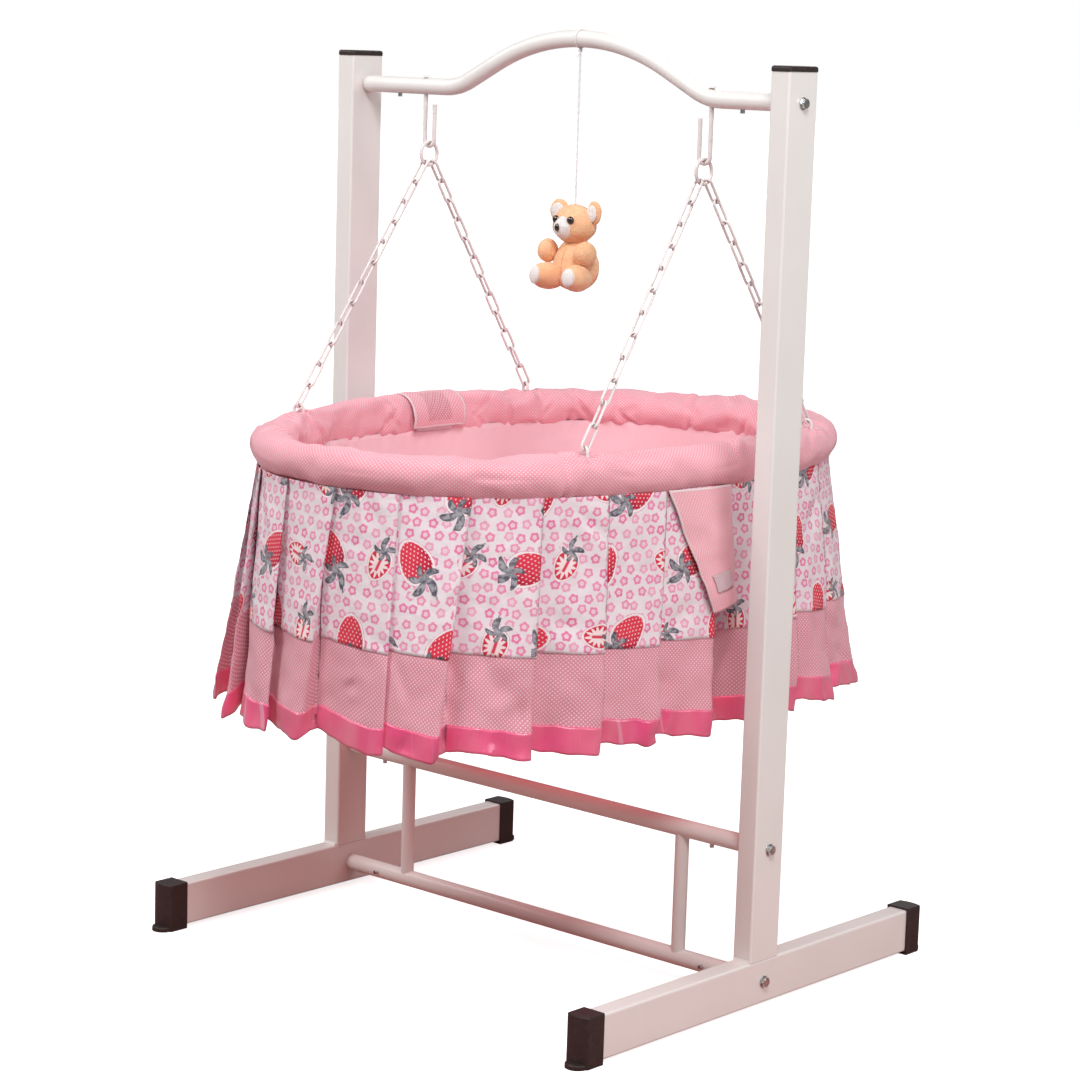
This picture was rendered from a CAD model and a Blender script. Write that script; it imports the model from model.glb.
"""Looks of a free-standing baby swing cradle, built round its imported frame.

Metres, in the frame's own axes: +X along the top bar, -Y the front end of the oval basket, +Z up.
"""
import math

import bmesh
import bpy
import numpy as np
from mathutils import Matrix, Vector, noise


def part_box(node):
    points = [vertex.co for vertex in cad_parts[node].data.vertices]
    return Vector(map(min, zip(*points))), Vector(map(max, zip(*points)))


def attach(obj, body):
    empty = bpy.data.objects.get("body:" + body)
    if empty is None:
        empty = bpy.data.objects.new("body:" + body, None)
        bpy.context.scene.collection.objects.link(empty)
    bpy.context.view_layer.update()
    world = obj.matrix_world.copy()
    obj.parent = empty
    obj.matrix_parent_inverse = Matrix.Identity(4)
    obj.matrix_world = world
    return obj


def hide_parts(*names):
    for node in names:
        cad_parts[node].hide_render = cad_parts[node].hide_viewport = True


MM = 0.001
TURN = 2 * math.pi
UP = np.array([0.0, 0.0, 1.0])

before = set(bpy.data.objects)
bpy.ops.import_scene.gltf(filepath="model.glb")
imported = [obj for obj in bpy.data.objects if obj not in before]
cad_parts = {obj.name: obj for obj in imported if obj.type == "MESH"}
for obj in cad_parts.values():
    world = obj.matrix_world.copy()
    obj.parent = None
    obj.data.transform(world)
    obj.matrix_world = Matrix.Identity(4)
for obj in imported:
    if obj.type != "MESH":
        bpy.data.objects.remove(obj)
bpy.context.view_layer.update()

# Basket rim
rod_low, rod_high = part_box("rim_ring")
pad_low, pad_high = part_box("rim_cover")
ROD_RADIUS = (rod_high.z - rod_low.z) / 2
RIM_Z = (rod_high.z + rod_low.z) / 2
RIM_X = rod_high.x - ROD_RADIUS
RIM_Y = rod_high.y - ROD_RADIUS
RIM_POWER = 2.2
PAD = pad_high.z - RIM_Z
EYE_Y = 195 * MM

# Bag, mattress
bag_low, bag_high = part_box("liner_bag")
mattress_low, mattress_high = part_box("mattress")
BAG_TOP_INSET = 15.5 * MM
BAG_BOTTOM_INSET = 40 * MM
BAG_CORNER = 14 * MM
BAG_TOP = bag_high.z + 6 * MM      # the cloth starts inside the pad
BAG_WALL_ROWS = 34
BAG_EDGE_ROWS = 5
BAG_FLOOR_ROWS = 16
LINER_THICKNESS = 1.2 * MM
MATTRESS_CROWN = 9 * MM
MATTRESS_RINGS = 26
MATTRESS_SIDE_ROWS = 14
PIPING_RADIUS = 1.8 * MM

# Skirt
print_low, print_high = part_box("skirt_print")
band_low, band_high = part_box("skirt_band")
hem_low, hem_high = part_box("skirt_ribbon")
SKIRT_TOP_OUTSET = 16 * MM
HEM_POWER = 2.6
PLEATS = 27
PLEAT_OVERLAP = 0.24
FIRST_FOLD = 0.6905          # share of the way round, from +X towards +Y, at which a fold edge sits
PLEAT_COLUMNS = 30
PLEAT_FABRIC = 112 * MM      # width of cloth in one pleat
SOFT_FOLDS = 190             # slanting creases pressed into the skirt at random

# Toy
head_low, head_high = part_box("bear_head")
knot_low, knot_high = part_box("toy_loop")
cord_low, cord_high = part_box("toy_cord")
TOY_X = (head_low.x + head_high.x) / 2
TOY_Z = head_high.z
CORD = (cord_high.x - cord_low.x) / 2


# ---------------------------------------------------------------- shader arithmetic

class Flow:
    """A number flowing through a shader graph, so that a pattern can be written as arithmetic."""

    def __init__(self, graph, socket):
        self.graph = graph
        self.socket = socket

    def __add__(self, other):
        return self.graph.math("ADD", self, other)

    def __sub__(self, other):
        return self.graph.math("SUBTRACT", self, other)

    def __rsub__(self, other):
        return self.graph.math("SUBTRACT", other, self)

    def __mul__(self, other):
        return self.graph.math("MULTIPLY", self, other)

    def __truediv__(self, other):
        return self.graph.math("DIVIDE", self, other)

    def __abs__(self):
        return self.graph.math("ABSOLUTE", self)

    __radd__ = __add__
    __rmul__ = __mul__


class Graph:
    """One node material and short calls for the nodes it uses."""

    def __init__(self, name):
        self.material = bpy.data.materials.new(name)
        self.material.use_nodes = True
        self.tree = self.material.node_tree
        self.shader = self.tree.nodes["Principled BSDF"]

    def node(self, kind, inputs=None, **settings):
        """Add a node, set its settings and fill or link its inputs."""
        made = self.tree.nodes.new(kind)
        for key, value in settings.items():
            setattr(made, key, value)
        for key, value in (inputs or {}).items():
            self.join(value, made.inputs[key])
        return made

    def join(self, value, socket):
        """Link a flow to a socket, or set the socket to a plain value."""
        if isinstance(value, Flow):
            self.tree.links.new(value.socket, socket)
        else:
            socket.default_value = value

    def math(self, operation, first, second=0.0):
        made = self.node("ShaderNodeMath", {0: first, 1: second}, operation=operation)
        return Flow(self, made.outputs[0])

    def length(self, x, y):
        return self.math("SQRT", x * x + y * y)

    def below(self, value, edge, soft):
        """1 where value is under the edge, 0 above it, with a soft border."""
        made = self.node("ShaderNodeMapRange", {0: value, 1: edge - soft, 2: edge + soft, 3: 1.0, 4: 0.0},
                         interpolation_type="SMOOTHSTEP")
        return Flow(self, made.outputs[0])

    def mix(self, share, first, second):
        """Colour between two others; a colour is a tuple or a Flow."""
        made = self.node("ShaderNodeMix", data_type="RGBA")
        self.join(share, made.inputs[0])
        self.join(opaque(first), made.inputs[6])
        self.join(opaque(second), made.inputs[7])
        return Flow(self, made.outputs[2])

    def cloth(self):
        """Cloth coordinates in metres, from the piece's own UV map."""
        split = self.node("ShaderNodeSeparateXYZ", {0: self.uv()})
        return Flow(self, split.outputs[0]), Flow(self, split.outputs[1])

    def uv(self):
        return Flow(self, self.node("ShaderNodeTexCoord").outputs["UV"])

    def place(self):
        """Coordinates of the part at rest, in metres."""
        return Flow(self, self.node("ShaderNodeTexCoord").outputs["Object"])

    def point(self, x, y, z=0.0):
        made = self.node("ShaderNodeCombineXYZ", {0: x, 1: y, 2: z})
        return Flow(self, made.outputs[0])

    def noise(self, where, size, detail=2.0):
        """Smooth noise about 0.5 with lumps of the given size."""
        made = self.node("ShaderNodeTexNoise", {"Vector": where, "Scale": 1 / size, "Detail": detail})
        return Flow(self, made.outputs[0])

    def random(self, x, y, seed):
        """A fixed random number from 0 to 1 for each pair of whole numbers."""
        made = self.node("ShaderNodeTexWhiteNoise", {"Vector": self.point(x, y, seed)})
        return Flow(self, made.outputs["Value"])

    def grime(self, distance):
        """1 in the open, falling towards 0 in corners."""
        made = self.node("ShaderNodeAmbientOcclusion", {"Distance": distance}, samples=4)
        return Flow(self, made.outputs["AO"])

    def bump(self, height, depth):
        """Raise the surface by up to depth where height is 1."""
        made = self.node("ShaderNodeBump", {"Height": height, "Distance": depth, "Strength": 1.0})
        self.join(Flow(self, made.outputs[0]), self.shader.inputs["Normal"])

    def finish(self, colour, roughness, **inputs):
        """Set the shader's inputs, with underscores for the spaces in their names, and give the material."""
        self.join(opaque(colour), self.shader.inputs["Base Color"])
        self.join(roughness, self.shader.inputs["Roughness"])
        for key, value in inputs.items():
            self.join(value, self.shader.inputs[key.replace("_", " ")])
        return self.material


def opaque(colour):
    """Colour with full alpha; one that comes from the graph has it already."""
    return colour if isinstance(colour, Flow) else (*colour, 1.0)


def srgb(red, green, blue):
    """Linear colour from the 0-255 values a screen shows."""
    shares = [value / 255 for value in (red, green, blue)]
    return tuple(s / 12.92 if s <= 0.04045 else ((s + 0.055) / 1.055) ** 2.4 for s in shares)


# ---------------------------------------------------------------- hard materials

def frame_paint():
    """Warm off-white powder coat: orange-peel skin, faint cloudiness, dust where parts meet."""
    g = Graph("powder_coat")
    where = g.place()
    cloudy = g.noise(where, 90 * MM, 3.0)
    dusty = g.below(g.grime(9 * MM), 0.55, 0.5)
    colour = g.mix(cloudy, srgb(238, 233, 229), srgb(248, 244, 241))
    colour = g.mix(dusty * 0.35, colour, srgb(176, 150, 140))
    peel = g.noise(where, 1.1 * MM, 1.0)
    g.bump(peel, 0.06 * MM)
    return g.finish(colour, g.noise(where, 30 * MM) * 0.14 + 0.26, Coat_Weight=0.25, Coat_Roughness=0.12,
                    Specular_IOR_Level=0.5)


def chain_paint():
    """White paint, dull and chipped to dark steel where the links rub."""
    g = Graph("chain_paint")
    where = g.place()
    rub = g.below(g.grime(4 * MM) + g.noise(where, 2.2 * MM) * 0.55, 0.86, 0.16)
    blotch = g.below(g.noise(where, 5 * MM, 4.0), 0.36, 0.05)
    colour = g.mix(g.noise(where, 12 * MM), srgb(235, 222, 222), srgb(246, 238, 236))
    colour = g.mix(blotch * 0.35, colour, srgb(196, 168, 162))
    colour = g.mix(rub * 0.55, colour, srgb(128, 96, 88))
    g.bump(g.noise(where, 0.8 * MM), 0.08 * MM)
    return g.finish(colour, rub * 0.2 + 0.36, Metallic=rub * 0.4)


def moulded_plastic():
    """Brown-black injection moulding with a fine spark-eroded texture and pale scuffs."""
    g = Graph("moulded_plastic")
    where = g.place()
    scuff = g.below(g.noise(where, 7 * MM, 5.0), 0.40, 0.05)
    colour = g.mix(g.noise(where, 20 * MM, 3.0), srgb(38, 27, 26), srgb(56, 43, 41))
    colour = g.mix(scuff * 0.12, colour, srgb(96, 80, 76))
    g.bump(g.noise(where, 0.7 * MM), 0.10 * MM)
    return g.finish(colour, g.noise(where, 4 * MM) * 0.2 + 0.42, Specular_IOR_Level=0.45)


def zinc():
    """Bright plated steel with a fine grain and slightly yellow stains."""
    g = Graph("zinc_plate")
    where = g.place()
    stain = g.below(g.noise(where, 3 * MM, 3.0), 0.46, 0.1)
    colour = g.mix(stain * 0.5, srgb(205, 207, 210), srgb(168, 158, 140))
    g.bump(g.noise(where, 0.35 * MM), 0.05 * MM)
    return g.finish(colour, g.noise(where, 2 * MM) * 0.25 + 0.18, Metallic=1.0)


def board_grain():
    """Pressed board with short brown fibres."""
    g = Graph("pressed_board")
    where = g.place()
    fibre = g.noise(where, 1.5 * MM, 5.0)
    colour = g.mix(fibre, srgb(128, 88, 58), srgb(172, 130, 92))
    g.bump(fibre, 0.2 * MM)
    return g.finish(colour, 0.75)


# ---------------------------------------------------------------- cloth materials

def weave(g, u, v, spacing):
    """Height of a plain weave with the given distance between threads."""
    across = g.math("SINE", u * (TURN / spacing))
    along = g.math("SINE", v * (TURN / spacing))
    return across * along


def pin_dots(g, u, v, pitch, radius):
    """1 on a staggered grid of small round dots."""
    def distance(shift):
        x = g.math("FRACT", u / pitch + shift) - 0.5
        y = g.math("FRACT", v / pitch + shift) - 0.5
        return g.length(x, y) * pitch
    nearest = g.math("MINIMUM", distance(0.0), distance(0.5))
    return g.below(nearest, radius, radius * 0.35)


def dotted_cloth(name, light, deep, width=0.0, length=0.0, patch=None):
    """Pink cotton with white pin dots.

    A strap's width and length give it a white overlocked edge. A patch, as its two sides across the cloth and
    its two ends along it, is darker and stitched crosswise.
    """
    g = Graph(name)
    u, v = g.cloth()
    where = g.uv()
    dots = pin_dots(g, u, v, 4.4 * MM, 0.78 * MM)
    faded = g.noise(where, 60 * MM, 4.0)
    colour = g.mix(faded, deep, light)
    colour = g.mix(g.noise(where, 1.3 * MM, 2.0) * 0.35, colour, light)
    if patch:
        inside = rectangle(g, u, v, *patch, 1 * MM)
        colour = g.mix(inside * 0.5, colour, srgb(196, 112, 128))
        cross = abs(g.math("SINE", (u + v) * (TURN / (26 * MM))))
        colour = g.mix(inside * g.below(cross, 0.07, 0.05) * 0.5, colour, srgb(250, 205, 212))
    colour = g.mix(dots * 0.8, colour, srgb(250, 226, 228))
    height = weave(g, u, v, 1.1 * MM) * 0.25 + dots * 0.5
    if width:
        edge = overlock(g, u, v, width, length)
        stitch = abs(g.math("SINE", (u + v * 1.2) * (TURN / (3.0 * MM))))
        colour = g.mix(edge * (stitch * 0.35 + 0.55), colour, srgb(250, 236, 238))
        height = height + edge * stitch * 2.0
    g.bump(height, 0.16 * MM)
    return g.finish(colour, 0.85, Sheen_Weight=0.35, Sheen_Roughness=0.45, Sheen_Tint=(1.0, 0.86, 0.88, 1.0),
                    Specular_IOR_Level=0.25)


def rectangle(g, u, v, low_u, high_u, low_v, high_v, soft):
    """1 inside a rectangle of cloth, 0 outside, with a soft border."""
    inside_u = g.below(u, high_u, soft) - g.below(u, low_u, soft)
    inside_v = g.below(v, high_v, soft) - g.below(v, low_v, soft)
    return inside_u * inside_v


def overlock(g, u, v, width, length):
    """1 on the border of a strip that runs from 0 to width and 0 to length."""
    side = g.math("MINIMUM", u, width - u)
    end = g.math("MINIMUM", v, length - v)
    return g.below(g.math("MINIMUM", side, end), 2.6 * MM, 0.4 * MM)


def plain_cloth(name, light, deep):
    """Plain salmon cotton with a fine weave and soft creasing."""
    g = Graph(name)
    u, v = g.cloth()
    where = g.uv()
    colour = g.mix(g.noise(where, 80 * MM, 4.0), deep, light)
    colour = g.mix(g.noise(g.point(u * 6.0, v), 3 * MM, 3.0) * 0.25, colour, light)
    crease = g.noise(where, 22 * MM, 4.0)
    g.bump(weave(g, u, v, 1.0 * MM) * 0.05 + crease, 1.6 * MM)
    return g.finish(colour, 0.82, Sheen_Weight=0.3, Sheen_Roughness=0.5, Sheen_Tint=(1.0, 0.85, 0.85, 1.0),
                    Specular_IOR_Level=0.25)


def cell(g, u, v, width, height):
    """Staggered cells: their column and row numbers, and the place within each, from its middle."""
    row = g.math("FLOOR", v / height)
    shifted = u / width + g.math("FRACT", row * 0.5)
    column = g.math("FLOOR", shifted)
    x = (g.math("FRACT", shifted) - 0.5) * width
    y = (g.math("FRACT", v / height) - 0.5) * height
    return column, row, x, y


def turned(g, x, y, angle):
    """The same point in axes turned by an angle."""
    cosine, sine = g.math("COSINE", angle), g.math("SINE", angle)
    return x * cosine + y * sine, y * cosine - x * sine


def flowers(g, u, v, colour):
    """Small five-petal flowers, each a ring of petals round a pale middle, scattered over the ground."""
    column, row, x, y = cell(g, u, v, 15.0 * MM, 13.0 * MM)
    x = x + (g.random(column, row, 1.0) - 0.5) * (5 * MM)
    y = y + (g.random(column, row, 2.0) - 0.5) * (4 * MM)
    angle = g.math("ARCTAN2", y, x) + g.random(column, row, 3.0) * TURN
    petal = abs(g.math("COSINE", angle * 2.5)) * 0.26 + 0.80
    reach = g.length(x, y) / (petal * (5.2 * MM))
    ring = g.below(abs(reach - 0.72), 0.27, 0.08)
    strength = g.random(column, row, 4.0) * 0.45 + 0.5
    colour = g.mix(g.below(reach, 1.0, 0.06) * 0.6, colour, srgb(252, 214, 228))
    colour = g.mix(ring * strength, colour, srgb(238, 120, 168))
    eye = g.below(reach, 0.16, 0.05)
    return g.mix(eye * 0.6, colour, srgb(240, 150, 186))


def berries(g, u, v, colour):
    """Large strawberries with white seeds, next to smaller ones cut in half, all with grey leaves."""
    column, row, x, y = cell(g, u, v, 76 * MM, 78 * MM)
    kind = g.math("FRACT", (column + row) * 0.5) * 2.0
    x = x + (g.random(column, row, 5.0) - 0.5) * (16 * MM)
    y = y + (g.random(column, row, 6.0) - 0.5) * (12 * MM)
    lean = (g.random(column, row, 7.0) - 0.5) * 2.4 + kind * 2.6 + 2.6
    x, y = turned(g, x, y, lean)
    size = 1.06 - kind * 0.30
    x, y = x / size, y / size
    fray = (g.noise(g.point(u, v), 2.2 * MM, 2.0) - 0.5) * 0.14

    across = x / (17 * MM)
    down = y / (21 * MM)
    taper = 1.12 - down * 0.26
    body = g.length(across * taper, down) + fray
    leaf_x, leaf_y = x, y - 19 * MM
    leaf_angle = g.math("ARCTAN2", leaf_y, leaf_x)
    from_stalk = g.length(leaf_x, leaf_y)
    curl = leaf_angle + from_stalk * 38.0
    lobes = g.math("POWER", abs(g.math("COSINE", curl * 2.5)), 1.5) * 0.78 + 0.22
    outwards = g.math("SINE", leaf_angle) * 0.22 + 0.92
    leaf = from_stalk / (lobes * outwards * (19 * MM)) + fray * 1.6
    bend = leaf_x + g.math("SINE", leaf_y * 90.0) * (4 * MM)
    stalk = g.below(abs(bend), 1.1 * MM, 0.4 * MM) * rectangle(
        g, leaf_x, leaf_y, -9 * MM, 9 * MM, 0.0, 25 * MM, 0.4 * MM)

    colour = g.mix(g.below(body, 1.16, 0.02), colour, srgb(226, 150, 170))
    colour = g.mix(g.below(leaf, 1.22, 0.04), colour, srgb(240, 222, 228))
    colour = g.mix(g.below(body, 1.13, 0.02), colour, srgb(252, 240, 243))
    whole = berry_flesh(g, x, y, across, down)
    halved = berry_inside(g, across, down, body)
    flesh = g.mix(kind, whole, halved)
    colour = g.mix(g.below(body, 1.0, 0.03), colour, flesh)
    shade = g.noise(g.point(u, v), 5 * MM, 3.0)
    grey = g.mix(g.below(shade, 0.48, 0.14), srgb(172, 170, 176), srgb(92, 92, 106))
    vein = g.below(abs(leaf - 0.92), 0.07, 0.04)
    grey = g.mix(vein * 0.7, grey, srgb(70, 66, 82))
    leafy = g.math("MAXIMUM", g.below(leaf, 1.0, 0.05), stalk)
    return g.mix(leafy, colour, grey)


def berry_flesh(g, x, y, across, down):
    """Red skin with white seeds."""
    shadow = g.below(across * 0.6 - down * 0.5 + g.noise(g.point(x, y), 9 * MM, 2.0), 0.15, 0.5)
    red = g.mix(shadow, srgb(232, 58, 84), srgb(186, 24, 62))
    column, row, seed_x, seed_y = cell(g, x, y, 4.6 * MM, 3.6 * MM)
    seeds = g.below(g.length(seed_x * 1.5, seed_y), 0.95 * MM, 0.25 * MM)
    return g.mix(seeds * 0.9, red, srgb(255, 226, 224))


def berry_inside(g, across, down, body):
    """Cut face: pale flesh round a red heart, with red strokes that run out to the rim."""
    angle = g.math("ARCTAN2", down, across)
    strokes = g.below(g.math("SINE", angle * 12.0) + (0.80 - body) * 5.0, 0.3, 0.3)
    spread = g.below(abs(body - 0.78), 0.36, 0.05)
    heart = g.below(abs(across), 0.12, 0.05) * g.below(abs(down), 0.45, 0.05)
    pale = g.mix(strokes * spread, srgb(255, 232, 232), srgb(222, 52, 80))
    return g.mix(heart, pale, srgb(226, 66, 92))


def print_cloth():
    """Cotton print: strawberries and outlined flowers on an off-white ground."""
    g = Graph("strawberry_print")
    u, v = g.cloth()
    where = g.uv()
    ground = g.mix(g.noise(where, 70 * MM, 3.0), srgb(236, 220, 227), srgb(248, 237, 241))
    colour = berries(g, u, v, flowers(g, u, v, ground))
    wrinkle = g.noise(where, 20 * MM, 5.0)
    g.bump(weave(g, u, v, 0.9 * MM) * 0.03 + wrinkle, 2.4 * MM)
    return g.finish(colour, 0.8, Sheen_Weight=0.15, Specular_IOR_Level=0.3)


def satin():
    """Coral-pink satin ribbon: fine cross ribs, a clear coat for sharp highlights, soft bright streaks."""
    g = Graph("satin_ribbon")
    u, v = g.cloth()
    broad = g.noise(g.point(u, v * 0.3), 46 * MM, 2.0)
    streak = g.noise(g.point(u, v * 0.1), 6 * MM, 3.0)
    colour = g.mix(g.below(broad, 0.5, 0.3), srgb(255, 132, 158), srgb(255, 66, 136))
    gleam = g.below(1.0 - g.noise(g.point(u + v * 0.25 + 3.0, 0.0), 15 * MM), 0.36, 0.05)
    colour = g.mix(gleam * (streak * 0.6 + 0.4), colour, srgb(255, 216, 230))
    rib = g.math("SINE", u * (TURN / (0.8 * MM)))
    g.bump(rib * 0.1 + broad * 5.0 + streak * 0.8, 1.2 * MM)
    return g.finish(colour, 0.3, Specular_IOR_Level=0.8, Sheen_Weight=0.2, Coat_Weight=0.7,
                    Coat_Roughness=0.12)


def touch_fastener():
    """Pale hook tape with rows of tiny hooks."""
    g = Graph("touch_fastener")
    where = g.place()
    u, v = g.cloth()
    hooks = pin_dots(g, u, v, 1.5 * MM, 0.4 * MM)
    colour = g.mix(g.noise(where, 4 * MM), srgb(240, 190, 200), srgb(252, 222, 228))
    colour = g.mix(hooks * 0.6, colour, srgb(255, 240, 240))
    g.bump(hooks, 0.5 * MM)
    return g.finish(colour, 0.6)


def plush(name, light, deep):
    """Short pile: soft mottling, darker at the roots, with a strong sheen."""
    g = Graph(name)
    where = g.place()
    pile = g.noise(where, 1.8 * MM, 3.0)
    colour = g.mix(g.noise(where, 14 * MM, 3.0), deep, light)
    colour = g.mix(g.below(pile, 0.46, 0.10) * 0.6, colour, deep)
    g.bump(pile, 0.9 * MM)
    return g.finish(colour, 0.92, Sheen_Weight=0.7, Sheen_Roughness=0.35, Sheen_Tint=(1.0, 0.88, 0.76, 1.0),
                    Specular_IOR_Level=0.15, Subsurface_Weight=0.12, Subsurface_Scale=3 * MM)


def glossy_bead():
    """Dark brown glass, unevenly coloured, under a clear coat."""
    g = Graph("glossy_bead")
    where = g.place()
    colour = g.mix(g.noise(where, 3 * MM), srgb(28, 12, 8), srgb(66, 34, 22))
    return g.finish(colour, 0.10, Coat_Weight=1.0, Coat_Roughness=0.02, Specular_IOR_Level=0.5)


def thread(name, colour):
    """Spun thread or cord of one colour, darker between its fibres."""
    g = Graph(name)
    where = g.place()
    twist = g.noise(where, 0.5 * MM, 2.0)
    tone = g.mix(twist, tuple(c * 0.84 for c in colour), colour)
    g.bump(twist, 0.15 * MM)
    return g.finish(tone, 0.8, Sheen_Weight=0.3)


# ---------------------------------------------------------------- mesh helpers

def add_object(name, data):
    """Put a new object in the scene."""
    made = bpy.data.objects.new(name, data)
    bpy.context.scene.collection.objects.link(made)
    return made


def piece(name, mesh, material, body):
    """Put a mesh in the scene as a smooth piece that moves with a body."""
    made = add_object(name, mesh)
    mesh.materials.append(material)
    mesh.polygons.foreach_set("use_smooth", [True] * len(mesh.polygons))
    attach(made, body)
    return made


def cloth_map(across, down):
    """UV map of a grid in metres of cloth: one value for each column and one for each row."""
    return np.stack(np.meshgrid(across, down), -1)


def grid_mesh(name, points, uv, wrap_rows=False, wrap_columns=False):
    """Mesh through a grid of points. uv has one more row or column where the grid closes on itself."""
    rows, columns = points.shape[:2]
    row = np.arange(rows if wrap_rows else rows - 1)
    column = np.arange(columns if wrap_columns else columns - 1)
    row, column = np.meshgrid(row, column, indexing="ij")
    corners = [(row, column), (row, column + 1), (row + 1, column + 1), (row + 1, column)]
    faces = np.stack([(r % rows) * columns + c % columns for r, c in corners], -1).reshape(-1, 4)
    cloth = np.stack([uv[r, c] for r, c in corners], -2).reshape(-1, 2)
    mesh = bpy.data.meshes.new(name)
    mesh.from_pydata(points.reshape(-1, 3).tolist(), [], faces.tolist())
    layer = mesh.uv_layers.new(name="cloth")
    layer.data.foreach_set("uv", cloth.ravel())
    return mesh


def closed(mesh, below=math.inf):
    """Fill the open ends of a mesh that lie below a height, and turn its faces outwards."""
    work = bmesh.new()
    work.from_mesh(mesh)
    ends = [e for e in work.edges if e.is_boundary and e.verts[0].co.z < below]
    bmesh.ops.holes_fill(work, edges=ends, sides=0)
    bmesh.ops.recalc_face_normals(work, faces=work.faces)
    work.to_mesh(mesh)
    work.free()
    return mesh


def thicken(made, thickness):
    """Give a sheet its thickness, half to each side."""
    shell = made.modifiers.new("thickness", "SOLIDIFY")
    shell.thickness = thickness
    shell.offset = 0.0
    shell.use_even_offset = False


def rough(points, size, seed):
    """Smooth random value between about -1 and 1 at each point, with lumps of the given size."""
    flat = points.reshape(-1, 3) / size + seed
    return np.array([noise.noise(p) for p in flat.tolist()]).reshape(points.shape[:-1])


def tube_mesh(name, path, radius, sides=10, strands=0, loop=False):
    """Round cord along a list of points, or round a loop; strands gives it the lay of a twisted cord."""
    path = np.array(path, float)
    if loop:
        tangent = np.roll(path, -1, 0) - np.roll(path, 1, 0)
    else:
        tangent = np.gradient(path, axis=0)
    tangent /= np.linalg.norm(tangent, axis=1)[:, None]
    side = np.cross(tangent[0], [0.31, 0.23, 0.92])
    sideways = []
    for direction in tangent:
        side = side - direction * (side @ direction)
        side /= np.linalg.norm(side)
        sideways.append(side)
    sideways = np.array(sideways)
    other = np.cross(tangent, sideways)
    step = np.linalg.norm(np.diff(path, axis=0), axis=1)
    along = np.concatenate([[0], np.cumsum(step)])
    angle = np.arange(sides) / sides * TURN
    lay = 1 + 0.16 * np.cos(strands * angle[None, :] - along[:, None] / (radius * 1.4)) * bool(strands)
    ring = np.cos(angle)[None, :, None] * sideways[:, None] + np.sin(angle)[None, :, None] * other[:, None]
    points = path[:, None] + ring * (radius * lay)[:, :, None]
    uv = cloth_map(np.arange(sides + 1) / sides * TURN * radius, np.append(along, along[-1]))
    return closed(grid_mesh(name, points, uv, loop, True))


def on_oval(half_x, half_y, power, share):
    """Plan points, outward normals and the length round |x/a|^p + |y/b|^p = 1, at shares of the way round."""
    angle = np.linspace(0, TURN, 4001)
    cosine, sine = np.cos(angle), np.sin(angle)
    reach = (abs(cosine / half_x) ** power + abs(sine / half_y) ** power) ** (-1 / power)
    x, y = reach * cosine, reach * sine
    length = np.concatenate([[0], np.cumsum(np.hypot(np.diff(x), np.diff(y)))])
    at = np.mod(share, 1.0) * length[-1]
    x, y = np.interp(at, length, x), np.interp(at, length, y)
    normal_x = np.sign(x) * abs(x / half_x) ** (power - 1) / half_x
    normal_y = np.sign(y) * abs(y / half_y) ** (power - 1) / half_y
    size = np.hypot(normal_x, normal_y)
    flat = np.zeros_like(x)
    return np.stack([x, y, flat], -1), np.stack([normal_x / size, normal_y / size, flat], -1), length[-1]


def rim_line(share, inset=0.0):
    """Plan points, outward normals and length of the rim's middle line, or of a line inside it."""
    return on_oval(RIM_X - inset, RIM_Y - inset, RIM_POWER, share)


# ---------------------------------------------------------------- rim pad

PAD_COLUMNS = 720
PAD_ROWS = 88
SEAM_ANGLE = math.radians(-62)      # where the cover's long seam runs, below the outer side
COVER_EXCESS = 0.08                 # how much larger than the pad the cover is cut
COVER_GAP = 4 * MM                  # how far inside its final skin the cover starts
SIMULATED_STEPS = 20
FOLD_LIMIT = 5.5 * MM               # the furthest a simulated fold rises or sinks
INNER_CREASES = 90                  # slanting, on the side that faces the basket
LOWER_CREASES = 80                  # short, running up from the seam
LONG_CREASES = 40                   # shallow, along the outer side

DENT = 1.7 * MM                     # depth of a deep fold of strength 1

# Plan places of the sewn joins that cross the pad. The deep folds in its cover add their tilt and strength.
PAD_SEAMS = ((-0.066, 0.345), (0.09, 0.33), (-0.20, 0.20), (0.20, -0.22))
PAD_DENTS = ((0.045, -0.37, 0.010, 3.2), (0.249, 0.01, 0.012, 4.2), (-0.19, -0.23, 0.012, 3.0),
             (-0.02, 0.355, -0.012, 3.0), (0.05, 0.35, -0.014, 3.0), (0.02, 0.352, -0.012, 2.6),
             (0.12, 0.33, 0.010, 3.0), (-0.10, 0.33, -0.010, 2.4))


def eye_shares():
    """Where round the rim the four chain eyes stand."""
    share = np.linspace(0, 1, 4001)[:-1]
    points, normals, length = rim_line(share)
    found = []
    for side in (-1, 1):
        for end in (-1, 1):
            miss = abs(points[:, 1] - end * EYE_Y) + (points[:, 0] * side < 0)
            found.append(share[miss.argmin()])
    return found


def crease(s, t, start, finish, width, depth):
    """Groove along a line on the unrolled pad, with a soft welt on both sides; all in metres."""
    dx, dy = finish[0] - start[0], finish[1] - start[1]
    size = math.hypot(dx, dy)
    along = np.clip(((s - start[0]) * dx + (t - start[1]) * dy) / size ** 2, 0, 1)
    away = np.hypot(s - start[0] - along * dx, t - start[1] - along * dy) / width
    taper = np.sin(np.pi * np.clip(along, 0.04, 0.96)) ** 0.6
    return depth * taper * (-np.exp(-away ** 2) + 0.45 * np.exp(-(away - 1.9) ** 2))


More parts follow.
